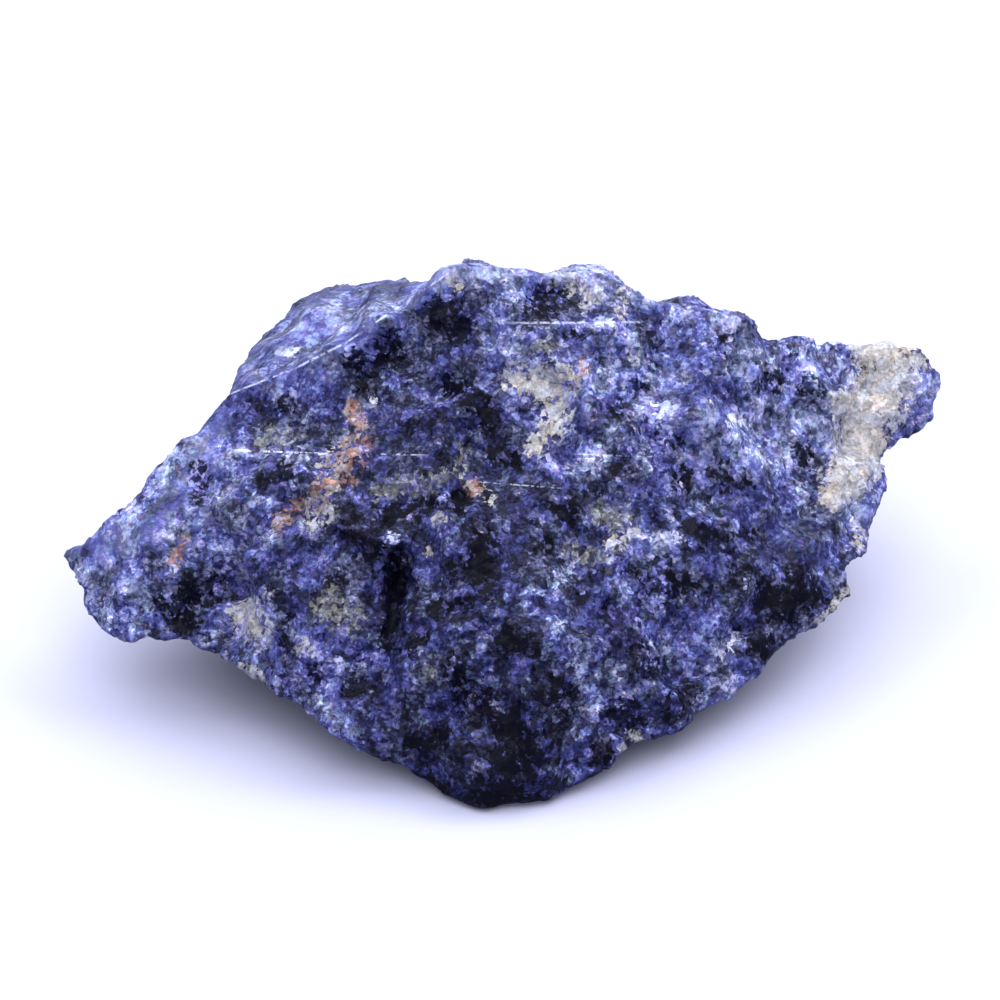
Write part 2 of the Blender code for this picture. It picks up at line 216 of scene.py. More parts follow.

# The strokes of the minerals, laid out as the view shows them, from left to right; the black strokes also
# hold painted shade, and the frost strokes hold painted sheen. A stroke is a strength and a path of places,
# each with a radius: mm across, mm up, mm of radius.
PATCHES = {
    # Black: dark minerals, and painted shade in the recesses under the crest, below the peak and on the chin
    # at the foot, which faces down.
    "black_and_shade": [
        (0.7, [(-34.0, -10.5, 0.8)]),
        (0.9, [(-30.5, -8.5, 1.0), (-31.0, -10.5, 1.4), (-32.2, -12.8, 1.0)]),
        (0.8, [(-30.0, 3.0, 0.8), (-30.0, 0.5, 0.9)]),
        (0.8, [(-28.5, -9.0, 1.2)]),
        (0.7, [(-22.0, 3.0, 1.0), (-23.5, 2.0, 0.8)]),
        (0.9, [(-21.4, 9.5, 0.7)]),
        (0.6, [(-21.0, -12.0, 0.7), (-21.5, -14.0, 0.7)]),
        (0.7, [(-19.0, -17.0, 0.7), (-18.5, -19.0, 0.7)]),
        (0.7, [(-18.0, 3.8, 0.7)]),
        (0.9, [(-17.2, -8.0, 0.9), (-16.5, -8.5, 0.9)]),
        (0.8, [(-15.0, -3.5, 1.2), (-13.0, -4.5, 1.2)]),
        (0.8, [(-14.5, 14.2, 1.0)]),
        (0.9, [(-13.8, 11.5, 0.6), (-12.5, 10.0, 0.5)]),
        (0.7, [(-13.5, -19.0, 0.8), (-15.0, -19.0, 0.8)]),
        (0.9, [(-12.0, -1.5, 0.9), (-8.0, -1.2, 0.8), (-6.5, -0.5, 0.9)]),
        (0.9, [(-11.2, 15.5, 1.2), (-11.8, 13.5, 1.1)]),
        (1.0, [(-10.5, -6.0, 0.8), (-10.8, -10.0, 0.9), (-11.2, -14.0, 0.8)]),
        (0.8, [(-8.0, -24.5, 1.4), (-6.0, -23.5, 1.0)]),
        (0.7, [(-8.0, -14.0, 0.8), (-8.8, -15.0, 0.8)]),
        (1.2, [(-6.1, 19.2, 0.9), (-5.5, 18.2, 1.5), (-4.0, 17.4, 1.2)]),
        (0.7, [(-6.0, -11.0, 1.0), (-4.0, -10.0, 1.0)]),
        (0.7, [(-5.0, -7.0, 1.0)]),
        (0.9, [(-5.0, 11.5, 0.8), (-1.3, 9.0, 1.0), (-1.0, 7.5, 0.9)]),
        (0.8, [(-4.5, -16.0, 1.0), (-4.0, -18.0, 1.0)]),
        (1.0, [(-4.0, 0.0, 1.0)]),
        (0.9, [(-3.0, -20.0, 1.2), (1.0, -22.5, 1.8), (2.0, -26.0, 2.2), (0.0, -29.0, 1.6)]),
        (0.9, [(-1.5, -4.0, 1.2), (-2.0, -7.0, 1.4), (-1.0, -9.0, 1.0)]),
        (0.9, [(-0.5, 4.5, 0.8), (2.0, 4.0, 0.7)]),
        (0.9, [(1.0, -14.0, 1.1), (2.0, -14.5, 1.1)]),
        (0.8, [(4.0, -4.5, 0.9)]),
        (0.8, [(4.0, 19.5, 1.4), (7.0, 21.0, 1.0)]),
        (0.9, [(5.5, -19.0, 1.2), (6.0, -20.5, 1.2)]),
        (0.9, [(6.0, -1.0, 1.0), (7.0, -1.2, 1.0)]),
        (0.7, [(7.0, 16.7, 0.6), (8.5, 17.0, 0.6)]),
        (0.6, [(8.5, -10.0, 0.8)]),
        (0.7, [(10.5, -26.0, 1.0), (10.0, -24.5, 1.0)]),
        (0.6, [(11.5, 9.2, 0.8)]),
        (1.0, [(12.0, -21.2, 1.3), (13.0, -22.5, 1.3)]),
        (0.9, [(12.0, 3.0, 0.8)]),
        (0.7, [(12.8, -7.2, 0.7)]),
        (0.7, [(14.0, -15.0, 1.1), (15.0, -16.5, 1.1)]),
        (0.9, [(14.0, 11.2, 0.9)]),
        (0.8, [(16.5, -7.2, 1.4), (18.0, -8.5, 1.4), (15.0, -9.0, 1.0)]),
        (0.7, [(17.2, 5.4, 0.9), (16.6, 6.4, 0.8)]),
        (0.8, [(18.5, 2.5, 0.8), (18.0, 1.5, 0.8)]),
        (0.7, [(19.0, -19.0, 1.0), (17.5, -20.5, 1.0)]),
        (0.9, [(20.5, -3.5, 1.0), (19.0, -3.0, 0.9)]),
        (0.5, [(22.0, 2.5, 1.6), (24.0, 1.5, 1.4)]),
        (0.9, [(22.5, 16.2, 0.6)]),
        (0.9, [(24.0, -7.5, 0.9)]),
        (0.8, [(24.8, -3.5, 0.8)]),
        (0.8, [(25.0, -14.0, 1.2), (27.0, -15.0, 1.2)]),
        (0.7, [(26.8, 11.6, 1.0), (28.0, 12.6, 0.8)]),
        (1.0, [(27.0, -10.0, 1.4), (31.0, -10.5, 1.4), (30.0, -8.0, 1.2)]),
        (0.6, [(30.4, 11.6, 1.0), (31.8, 10.6, 0.8)]),
        (0.6, [(30.5, 4.0, 1.0), (30.0, 5.0, 0.9)]),
    ],
    "deep": [
        (0.9, [(-25.5, 11.0, 1.4), (-24.0, 9.0, 1.5)]),
        (0.8, [(-15.5, -15.0, 1.0), (-13.0, -15.5, 0.9)]),
        (0.7, [(-9.5, 7.0, 0.8), (-6.0, 7.5, 0.8)]),
        (0.7, [(-4.8, 15.2, 0.8)]),
        (0.6, [(2.5, -0.5, 0.9), (2.0, -2.5, 0.9)]),
        (0.6, [(3.0, 9.0, 0.8)]),
        (0.9, [(12.0, -11.0, 1.3), (12.5, -14.5, 1.2)]),
        (0.7, [(13.5, 6.8, 0.9), (15.0, 6.5, 0.8)]),
        (0.8, [(16.0, -2.0, 0.8), (15.0, -1.0, 0.8)]),
        (0.8, [(20.8, 11.2, 1.3), (23.0, 11.0, 1.2)]),
        (0.7, [(29.0, -12.0, 0.8)]),
        (0.6, [(41.5, 10.5, 0.8), (42.0, 7.5, 0.8)]),
    ],
    # Frost: frosted, bruised crumbs, and painted sheen on the wing's upper facets and ridges and on the
    # shoulder behind the crest, which face the light.
    "frost_and_sheen": [
        (0.8, [(-42.0, -6.0, 0.8), (-41.5, -8.5, 0.9), (-39.0, -12.5, 0.9)]),
        (0.6, [(-37.0, -11.0, 0.8), (-37.0, -13.0, 0.8)]),
        (0.8, [(-33.0, 4.0, 1.0), (-35.5, 1.0, 1.2), (-38.5, -3.0, 1.0)]),
        (0.7, [(-32.0, -2.0, 0.9), (-30.5, -1.6, 0.8)]),
        (0.6, [(-30.0, 6.5, 0.9), (-28.0, 6.0, 0.8)]),
        (0.6, [(-26.0, 3.0, 0.7), (-23.8, 0.0, 0.8), (-23.2, -4.0, 0.7)]),
        (0.6, [(-24.5, 12.8, 0.9), (-17.0, 16.8, 1.0), (-11.0, 19.6, 0.9), (-8.0, 21.4, 0.7)]),
        (0.5, [(-22.5, 16.5, 0.8), (-14.0, 20.6, 0.8)]),
        (0.7, [(-18.0, -19.0, 0.7), (-17.0, -23.0, 1.0), (-16.0, -21.0, 0.8)]),
        (0.5, [(-10.0, -21.5, 0.8), (-7.0, -22.0, 0.9)]),
        (0.6, [(-9.0, -9.0, 0.4), (-9.5, -12.0, 0.4)]),
        (0.5, [(-6.5, -15.5, 0.7)]),
        (0.5, [(-6.0, -28.0, 0.6), (-5.0, -27.0, 0.6)]),
        (0.5, [(-2.5, -23.5, 0.8)]),
        (0.5, [(-2.0, -18.0, 0.7)]),
        (0.6, [(-1.0, -10.0, 0.7), (0.0, -9.0, 0.6)]),
        (0.7, [(0.8, 21.5, 0.9), (0.0, 18.0, 0.9), (1.2, 14.8, 0.8), (4.8, 14.0, 0.6)]),
        (0.6, [(2.0, -10.0, 0.6), (5.0, -9.8, 0.6)]),
        (0.8, [(6.2, -14.0, 0.9), (8.5, -18.0, 0.9), (9.0, -21.5, 0.9), (8.3, -23.5, 0.7)]),
        (0.8, [(7.0, -7.0, 0.9), (4.5, -9.8, 0.9), (6.2, -14.0, 0.9)]),
        (0.7, [(8.0, 17.8, 0.7), (12.2, 17.8, 0.7), (13.0, 14.5, 0.5)]),
        (0.7, [(9.0, 5.0, 1.0), (10.0, 4.0, 0.9)]),
        (0.7, [(10.0, -9.0, 0.6), (14.0, -9.2, 0.6)]),
        (0.5, [(19.8, 4.5, 0.4), (19.5, 1.0, 0.4)]),
        (0.7, [(23.0, 7.0, 0.8), (26.5, 4.5, 0.9), (27.5, 3.0, 0.7)]),
        (0.5, [(24.0, -11.0, 0.8)]),
        (0.5, [(25.5, -6.0, 0.6)]),
        (0.7, [(27.0, 15.0, 0.9), (31.0, 15.2, 0.8), (34.5, 15.0, 0.7)]),
        (0.6, [(34.5, -5.0, 0.7), (35.0, -2.0, 0.6)]),
    ],
    "bright": [
        (0.7, [(-34.5, 3.5, 1.0), (-37.0, -1.0, 1.0)]),
        (0.6, [(-26.0, -14.0, 0.9), (-28.0, -15.0, 0.9)]),
        (0.8, [(-20.5, -6.0, 0.7), (-19.5, -8.0, 0.7)]),
        (0.8, [(-20.0, 12.5, 1.0), (-23.0, 13.0, 1.0)]),
        (0.6, [(-17.5, -23.0, 1.0)]),
        (0.6, [(0.0, -11.5, 1.0), (-1.5, -13.5, 1.0)]),
        (0.7, [(16.5, 15.5, 1.4), (19.0, 17.0, 1.2)]),
        (0.7, [(20.0, -14.0, 1.4), (19.0, -17.0, 1.4)]),
        (0.6, [(24.0, 9.5, 1.4), (22.0, 8.8, 1.0)]),
        (0.7, [(33.0, -5.5, 0.9)]),
        (0.7, [(42.0, 12.0, 1.0), (42.0, 8.0, 1.0)]),
    ],
    "beige": [
        (1.0, [(-25.4, -11.6, 1.4), (-24.4, -13.0, 1.1)]),
        (0.9, [(-25.2, -17.4, 1.0), (-24.4, -18.4, 0.8)]),
        (0.5, [(-23.0, -9.0, 0.5), (-23.3, -10.0, 0.5)]),
        (0.7, [(-20.0, -14.5, 0.7), (-19.0, -15.0, 0.7)]),
        (0.7, [(-18.3, -2.2, 0.9)]),
        (0.5, [(-15.0, 8.0, 1.0), (-15.6, 5.0, 1.5), (-17.0, 2.4, 1.6), (-18.4, -2.0, 1.3)]),
        (0.5, [(-7.0, -5.0, 0.7)]),
        (0.6, [(-6.2, -2.0, 0.7)]),
        (0.6, [(-4.6, 22.0, 0.6), (-4.0, 21.4, 0.6)]),
        (0.6, [(-1.0, 0.0, 0.7)]),
        (1.0, [(1.6, 12.2, 1.1), (3.2, 11.6, 1.4), (5.6, 10.6, 1.3)]),
        (0.9, [(4.5, 12.8, 1.0), (6.6, 12.4, 1.2)]),
        (0.95, [(6.0, 10.0, 1.1), (5.2, 7.5, 1.1), (4.4, 6.0, 0.9), (3.0, 5.0, 0.6)]),
        (0.5, [(6.6, 22.0, 0.9), (7.4, 21.0, 0.8)]),
        (0.75, [(9.0, 20.6, 1.0), (8.6, 19.8, 0.9)]),
        (0.6, [(11.5, -4.5, 1.0), (13.2, -3.2, 0.7)]),
        (0.6, [(12.2, 20.6, 0.5), (12.2, 18.6, 0.6)]),
        (0.5, [(12.6, 15.6, 0.5), (13.4, 14.0, 0.5)]),
        (0.8, [(13.5, -24.0, 0.8), (12.5, -25.0, 0.6)]),
        (0.5, [(26.3, 13.5, 0.5)]),
        (0.9, [(33.8, 10.0, 0.8)]),
        (0.9, [(35.0, -9.0, 0.8), (34.0, -11.0, 0.8), (32.0, -12.2, 0.6)]),
        (0.8, [(35.5, -3.0, 0.7), (36.0, -4.6, 0.6)]),
        (1.6, [(36.5, 8.0, 1.9), (36.0, 4.5, 2.0), (34.5, 2.2, 1.6), (33.2, 0.4, 1.0)]),
        (1.6, [(37.0, 14.8, 1.3), (39.2, 13.6, 1.8), (38.0, 10.5, 2.1), (35.6, 9.4, 1.6)]),
        (1.0, [(40.0, 15.0, 1.2), (42.4, 13.8, 0.8)]),
    ],
    "rust": [
        (0.9, [(-31.6, -3.8, 0.5), (-32.6, -6.2, 0.6)]),
        (0.7, [(-20.2, -0.6, 0.7), (-21.8, -1.8, 0.8), (-22.2, -2.8, 0.6)]),
        (0.8, [(-14.9, 9.9, 0.4), (-14.7, 9.2, 0.6)]),
        (0.7, [(-14.8, 4.2, 1.2), (-16.6, 2.0, 1.4), (-18.4, 0.4, 1.1)]),
        (0.7, [(-14.6, 8.0, 0.8), (-14.0, 6.2, 1.3), (-14.8, 4.2, 1.2)]),
        (0.8, [(-2.4, 1.0, 0.7), (-3.0, 1.6, 0.6)]),
        (0.75, [(8.2, 13.6, 0.6), (8.4, 12.6, 0.7)]),
        (0.5, [(10.0, 9.6, 0.5), (9.4, 8.2, 0.5)]),
    ],
    "olive": [
        (0.5, [(-28.5, -0.5, 1.0)]),
        (0.5, [(-26.0, -2.4, 0.8)]),
        (0.4, [(-24.0, 6.0, 1.6), (-21.0, 6.6, 1.6)]),
        (0.75, [(-17.2, -10.5, 1.4), (-15.2, -11.8, 1.4)]),
        (0.6, [(-12.0, 0.8, 0.9), (-7.0, 2.0, 1.0), (-4.5, 2.5, 1.0)]),
        (0.5, [(-7.2, -17.5, 0.7)]),
        (0.5, [(-4.2, 3.8, 0.8), (-3.8, 5.0, 0.8)]),
        (0.6, [(3.5, 15.2, 0.9), (5.0, 15.4, 0.8)]),
        (0.6, [(7.0, -5.0, 1.0), (10.5, -6.5, 0.8)]),
        (0.8, [(10.0, -1.2, 0.9), (12.0, -2.0, 1.0)]),
    ],
    "chalk": [
        (0.75, [(-21.1, 14.4, 0.35), (-20.2, 15.1, 0.35)]),
        (0.6, [(-13.0, 10.8, 0.3), (-12.6, 9.8, 0.3)]),
        (0.6, [(-10.8, -3.8, 0.6)]),
        (0.55, [(14.8, 9.4, 1.0), (16.4, 8.4, 1.2)]),
        (0.6, [(16.0, -4.0, 0.8), (18.0, -3.8, 0.5)]),
        (0.6, [(22.0, -15.5, 0.7), (23.5, -14.0, 0.6)]),
        (0.8, [(23.2, 7.9, 0.5), (24.8, 7.9, 0.5)]),
        (0.5, [(32.2, 13.8, 0.5)]),
    ],
}

# Strokes that make the blue stone lighter, and strokes that make it darker: partly the stone's own lighter
# and darker places, partly painted light and shade. Painted light lies on the top rim, the shoulder behind
# the crest, the wing's ridge and the upper right, which face the light, and on a place on the right end that
# turns away into shade; painted shade lies on the middle of the face and on the chin at the foot, which faces
# down.
LIGHTER = [
    (0.5, [(-40.6, -7.6, 1.2)]),
    (0.8, [(-40.0, -7.0, 1.2)]),
    (0.5, [(-40.0, -5.5, 1.8), (-36.5, -4.0, 2.0), (-31.0, -2.2, 2.4)]),
    (0.6, [(-37.0, -9.0, 1.4), (-34.5, -11.2, 1.4)]),
    (0.35, [(-36.5, -11.0, 2.4)]),
    (1.0, [(-30.0, -2.0, 1.2)]),
    (0.5, [(-29.5, 4.0, 1.8), (-31.5, 1.5, 1.6)]),
    (0.3, [(-26.5, -4.5, 2.4)]),
    (0.3, [(-26.0, 12.6, 1.6), (-17.0, 17.0, 2.0), (-9.0, 20.5, 1.6)]),
    (0.4, [(-25.5, -11.8, 2.0)]),
    (0.3, [(-22.0, 6.0, 2.6)]),
    (0.5, [(-22.0, 15.5, 1.8), (-16.0, 18.5, 1.8)]),
    (0.35, [(-19.0, -17.0, 1.2), (-16.5, -19.5, 1.2)]),
    (0.4, [(-18.5, 13.4, 1.0), (-12.0, 16.4, 1.4)]),
    (0.4, [(-18.0, 17.8, 1.6), (-9.5, 16.4, 1.6)]),
    (0.3, [(-17.5, -19.0, 2.0), (-18.0, -25.0, 2.2)]),
    (0.6, [(-17.0, -19.0, 1.2)]),
    (1.0, [(-17.0, 18.0, 1.5)]),
    (0.6, [(-15.0, 17.6, 1.2)]),
    (0.5, [(-14.2, 6.2, 1.2)]),
    (0.35, [(-10.0, 0.6, 1.4), (-4.0, 0.8, 1.2)]),
    (0.7, [(-9.0, 0.8, 1.2)]),
    (0.4, [(-9.0, 1.0, 1.3)]),
    (0.55, [(-6.0, 21.6, 1.1)]),
    (0.7, [(-6.0, 23.0, 1.3), (4.0, 22.8, 1.2)]),
    (0.45, [(-5.0, 5.0, 1.4)]),
    (0.35, [(-1.0, 19.0, 1.5)]),
    (0.65, [(0.8, 14.6, 1.6)]),
    (0.75, [(2.0, 21.4, 1.3)]),
    (0.9, [(4.0, 22.8, 1.0), (10.0, 22.2, 1.8)]),
    (0.3, [(6.0, -6.0, 1.6), (15.5, -5.5, 2.0)]),
    (0.5, [(6.5, -21.0, 1.3), (12.0, -20.8, 1.0)]),
    (0.3, [(6.5, -20.5, 1.6)]),
    (0.4, [(8.0, 13.5, 3.0), (8.8, 6.5, 3.0)]),
    (0.4, [(8.8, -18.0, 2.4), (7.5, -22.0, 2.0)]),
    (0.5, [(9.0, -20.0, 1.2)]),
    (0.25, [(10.0, -4.0, 1.4)]),
    (1.0, [(10.0, 21.0, 1.3)]),
    (0.45, [(10.0, 22.4, 1.6), (15.0, 19.4, 1.0), (24.0, 17.4, 1.0)]),
    (0.35, [(12.2, -24.2, 1.4)]),
    (0.5, [(14.0, 11.0, 3.0), (19.5, 8.5, 4.0), (34.0, 7.0, 5.0)]),
    (0.35, [(14.2, -6.0, 1.4)]),
    (0.35, [(14.5, 15.6, 2.0)]),
    (0.6, [(15.2, -5.6, 1.3)]),
    (0.35, [(16.0, 0.0, 1.4)]),
    (0.35, [(18.0, -15.0, 2.6), (21.5, -14.5, 2.2)]),
    (1.0, [(19.5, 8.2, 1.7)]),
    (1.3, [(20.6, 7.8, 1.2)]),
    (0.6, [(21.5, -20.0, 1.4)]),
    (0.35, [(23.5, -21.0, 2.4)]),
    (1.0, [(24.0, 12.0, 1.4)]),
    (0.8, [(24.6, 16.6, 1.0)]),
    (0.6, [(24.8, 16.4, 1.2), (24.4, 11.4, 1.4)]),
    (0.95, [(25.0, 4.0, 1.3)]),
    (0.4, [(25.0, 15.0, 1.8), (28.0, 14.0, 1.6)]),
    (0.9, [(27.0, 12.0, 0.8)]),
    (0.6, [(31.0, 5.2, 1.0)]),
    (0.7, [(31.0, 13.0, 1.6), (32.6, 10.0, 1.6)]),
    (0.95, [(33.0, 9.8, 1.1)]),
    (0.4, [(34.0, -8.0, 1.2)]),
    (0.6, [(35.6, -1.0, 1.4)]),
    (1.7, [(35.9, -1.2, 1.1)]),
    (0.9, [(36.2, -0.4, 1.6)]),
    (0.8, [(42.4, 11.5, 1.4), (42.0, 9.0, 1.4)]),
]
DARKER = [
    (0.35, [(-25.0, 7.2, 1.6)]),
    (0.5, [(-23.2, 13.4, 1.0)]),
    (0.3, [(-22.0, -16.5, 2.4)]),
    (0.4, [(-20.0, -7.5, 2.4)]),
    (0.5, [(-17.5, 3.2, 1.4)]),
    (0.45, [(-17.5, 3.4, 1.6), (-12.0, 2.4, 1.6)]),
    (0.3, [(-16.0, -7.0, 1.8)]),
    (0.3, [(-15.0, 9.4, 1.2)]),
    (0.5, [(-14.0, -3.0, 3.0), (-4.0, -1.5, 3.5), (-1.0, -6.0, 5.0)]),
    (0.25, [(-13.0, -20.0, 2.5)]),
    (0.9, [(-12.0, -27.0, 1.6), (-4.0, -30.0, 1.6), (4.0, -30.5, 1.6)]),
    (0.6, [(-10.0, -27.5, 2.4), (-7.0, -24.0, 4.0), (1.0, -26.0, 6.0), (6.0, -22.0, 4.0)]),
    (0.5, [(-9.0, -2.0, 1.6), (-5.0, -2.8, 1.8)]),
    (0.35, [(-9.0, 6.0, 3.5), (-3.0, 3.0, 4.5)]),
    (0.4, [(-5.0, -8.5, 4.0), (-12.0, -11.0, 3.5)]),
    (0.35, [(-2.5, 15.5, 1.6)]),
    (0.35, [(-2.4, 2.4, 1.6)]),
    (0.7, [(2.0, -8.0, 1.8)]),
    (0.4, [(3.0, -13.0, 3.5)]),
    (0.5, [(5.6, 7.6, 1.2)]),
    (0.3, [(8.3, 13.0, 1.0)]),
    (0.5, [(11.6, -6.0, 2.2)]),
    (0.45, [(12.0, -16.6, 1.4)]),
    (0.4, [(12.5, 7.5, 1.8)]),
    (0.45, [(15.4, -12.6, 1.6), (20.0, -10.6, 1.6)]),
    (0.5, [(16.6, 15.4, 1.6)]),
    (0.3, [(17.5, -20.5, 3.0)]),
    (0.4, [(21.6, -6.0, 1.6)]),
    (0.4, [(23.6, 0.4, 1.6)]),
    (0.35, [(28.0, -9.5, 4.5)]),
]

# Thin pale veins, and painted highlights along the sharpest ridges (the last three, on the crest), straight
# as the view shows them: start, end, half width, strength, and how much of the line is whole.
VEINS_AND_HIGHLIGHTS = [
    ((-26.4, 5.0), (-17.2, 4.6), 0.1, 0.75, 0.45),
    ((-12.5, 4.6), (-7.5, 4.5), 0.08, 0.35, 0.3),
    ((-2.0, 1.8), (5.8, 1.2), 0.07, 0.3, 0.3),
    ((7.6, 4.6), (15.5, 4.3), 0.07, 0.35, 0.3),
    ((0.5, 17.7), (14.5, 17.8), 0.12, 0.35, 0.4),
    ((-27.8, 10.3), (-20.0, 13.4), 0.1, 0.45, 0.4),
    ((-20.4, 13.2), (-15.3, 15.8), 0.12, 0.5, 0.5),
    ((-15.6, 15.6), (-5.3, 22.6), 0.1, 0.45, 0.4),
]

# Strokes where the break is smooth instead of grainy.
CALM = [
    (1.0, [(-26.0, 13.5, 3.0), (-20.0, 17.5, 4.0), (-12.0, 21.0, 3.0), (-6.5, 23.0, 1.6)]),
    (0.55, [(-28.0, 10.3, 1.0), (-20.0, 13.4, 1.0), (-15.5, 15.7, 1.0), (-6.0, 22.0, 1.0)]),
    (0.8, [(-42.5, -5.3, 1.2), (-37.0, -3.5, 1.2), (-31.0, 2.0, 1.6), (-28.0, 8.0, 1.4)]),
    (0.6, [(20.0, 4.0, 2.0), (25.0, 1.5, 2.0)]),
    (0.6, [(27.0, -3.5, 2.2), (31.0, -4.5, 2.0)]),
    (0.6, [(16.5, -7.5, 2.4)]),
]

# Streaks of patches on the hidden sides, strewn over them with a fixed seed: their half length and width in
# multiples of the radius, and how many of each there are, their strength and their radius in mm.
STREAK_LENGTHS = (0.3, 2.0)
STREAK_WIDTHS = (0.6, 1.5)
BACK_SEED = 5
BACK_PATCHES = {
    "black_and_shade": (44, 0.85, 1.1),
    "deep": (16, 0.7, 1.2),
    "frost_and_sheen": (30, 0.65, 1.0),
    "bright": (12, 0.65, 1.1),
    "beige": (16, 0.85, 1.2),
    "rust": (7, 0.75, 0.9),
    "olive": (8, 0.7, 1.1),
    "chalk": (8, 0.7, 0.6),
}

# A pack of grains in a shader: three random values for each grain, and the height of its tilted face.
Pack = namedtuple("Pack", "light hue edge face")


def node(tree, kind, inputs=None, **settings):
    """Adds a node, sets it up and feeds its inputs with numbers or with other nodes' outputs."""
    made = tree.nodes.new(kind)
    for name, value in settings.items():
        setattr(made, name, value)
    for key, value in (inputs or {}).items():
        feed(tree, made.inputs[key], value)
    return made


def feed(tree, socket, value):
    if isinstance(value, bpy.types.NodeSocket):
        tree.links.new(value, socket)
    else:
        socket.default_value = value


def maths(tree, operation, a, b=0.0, clamp=False):
    return node(tree, "ShaderNodeMath", {0: a, 1: b}, operation=operation, use_clamp=clamp).outputs[0]


def plus(tree, a, b):
    return maths(tree, "ADD", a, b)


def by(tree, a, b):
    return maths(tree, "MULTIPLY", a, b)


def vectors(tree, operation, a, b=(0.0, 0.0, 0.0)):
    return node(tree, "ShaderNodeVectorMath", {0: a, 1: b}, operation=operation).outputs[0]


def dot(tree, a, b):
    return node(tree, "ShaderNodeVectorMath", {0: a, 1: b}, operation="DOT_PRODUCT").outputs["Value"]


def times(tree, vector, factor):
    made = node(tree, "ShaderNodeVectorMath", {0: vector, "Scale": factor}, operation="SCALE")
    return made.outputs[0]


def noise(tree, vector, per_mm, detail, rough, output="Fac"):
    inputs = {"Vector": vector, "Scale": per_mm, "Detail": detail, "Roughness": rough}
    return node(tree, "ShaderNodeTexNoise", inputs).outputs[output]


def wander(tree, place, per_mm, reach):
    """The place, moved by up to about half the reach in a slowly changing direction."""
    away = vectors(tree, "SUBTRACT", noise(tree, place, per_mm, 2.0, 0.5, "Color"), (0.5, 0.5, 0.5))
    return vectors(tree, "ADD", place, times(tree, away, reach))


def spread(tree, value, low, high, to_low=0.0, to_high=1.0, smooth=True):
    """Maps low..high to to_low..to_high, held at both ends."""
    made = node(tree, "ShaderNodeMapRange", {0: value, 1: low, 2: high, 3: to_low, 4: to_high})
    made.interpolation_type = "SMOOTHSTEP" if smooth else "LINEAR"
    return made.outputs[0]


def blend(tree, factor, a, b, way="MIX"):
    made = node(tree, "ShaderNodeMix", data_type="RGBA", blend_type=way)
    feed(tree, made.inputs["Factor"], factor)
    feed(tree, made.inputs[6], a)
    feed(tree, made.inputs[7], b)
    return made.outputs[2]


def ramp(tree, value, stops):
    made = node(tree, "ShaderNodeValToRGB", {0: value})
    band = made.color_ramp
    band.elements[0].position, band.elements[0].color = stops[0][0], (*stops[0][1], 1)
    band.elements[1].position, band.elements[1].color = stops[-1][0], (*stops[-1][1], 1)
    for place, colour in stops[1:-1]:
        band.elements.new(place).color = (*colour, 1)
    return made.outputs[0]


def weighted(tree, start, parts):
    """start plus each part's distance from a half, times the part's weight."""
    total = start
    for part, weight in parts:
        away = by(tree, maths(tree, "SUBTRACT", part, 0.5), weight)
        total = plus(tree, away, total)
    return total


def tilted_face(tree, at, cell):
    """The height of the grain's own slanting face at a point, from the grain's middle and random slant."""
    away = vectors(tree, "SUBTRACT", at, cell.outputs["Position"])
    slant = vectors(tree, "SUBTRACT", cell.outputs["Color"], (0.5, 0.5, 0.5))
    return dot(tree, away, slant)


def shifted(tree, place, size, shift):
    """The place in units of the grain's size, moved by the pack's shift."""
    return vectors(tree, "ADD", times(tree, place, 1 / size), (shift, shift * 2, -shift))


def grain_relief():
    """Geometry nodes that push the surface to a pack of tilted grain faces in three sizes."""
    tree = bpy.data.node_groups.new("broken grain", "GeometryNodeTree")
    tree.interface.new_socket("Geometry", in_out="INPUT", socket_type="NodeSocketGeometry")
    tree.interface.new_socket("Geometry", in_out="OUTPUT", socket_type="NodeSocketGeometry")
    start = node(tree, "NodeGroupInput")
    end = node(tree, "NodeGroupOutput")
    place = times(tree, node(tree, "GeometryNodeInputPosition").outputs[0], 1 / MM)
    bent = wander(tree, place, RELIEF_WANDERS_PER_MM, RELIEF_WANDER)
    parts = []
    for size, rise, shift in RELIEF_GRAINS:
        at = shifted(tree, bent, size, shift)
        cell = node(tree, "ShaderNodeTexVoronoi", feature="SMOOTH_F1")
        for name, value in (("Vector", at), ("Scale", 1.0), ("Smoothness", RELIEF_SOFTNESS)):
            feed(tree, cell.inputs[name], value)
        parts.append(by(tree, tilted_face(tree, at, cell), rise * 2))
    height = plus(tree, plus(tree, parts[0], parts[1]), parts[2])
    up = node(tree, "ShaderNodeSeparateXYZ", {0: place}).outputs["Z"]
    height = by(tree, height, spread(tree, up, RELIEF_STARTS, RELIEF_FULL))
    calm = node(tree, "GeometryNodeInputNamedAttribute", {"Name": "calm"}, data_type="FLOAT")
    height = by(tree, height, spread(tree, calm.outputs["Attribute"], 0.0, CALM_FULL, 1.0, CALM_RELIEF))
    offset = times(tree, node(tree, "GeometryNodeInputNormal").outputs[0], by(tree, height, MM))
    kept = node(tree, "GeometryNodeStoreNamedAttribute", {"Name": "relief", "Value": height})
    feed(tree, kept.inputs["Geometry"], start.outputs[0])
    moved = node(tree, "GeometryNodeSetPosition", {"Geometry": kept.outputs[0], "Offset": offset})
    feed(tree, end.inputs[0], moved.outputs[0])
    return tree


def select_only(piece):
    bpy.ops.object.select_all(action="DESELECT")
    piece.select_set(True)
    bpy.context.view_layer.objects.active = piece


def copy_cad_stone():
    """A copy of the CAD stone, free of its body and with its seams joined."""
    select_only(frame["nodes"][STONE])
    bpy.ops.object.duplicate()
    stone = bpy.context.view_layer.objects.active
    stone.name = "stone"
    bpy.ops.object.parent_clear(type="CLEAR_KEEP_TRANSFORM")
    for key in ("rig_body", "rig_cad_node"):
        del stone[key]
    bpy.ops.object.mode_set(mode="EDIT")
    bpy.ops.mesh.select_all(action="SELECT")
    bpy.ops.mesh.remove_doubles(threshold=0.001 * MM)
    bpy.ops.object.mode_set(mode="OBJECT")
    return stone


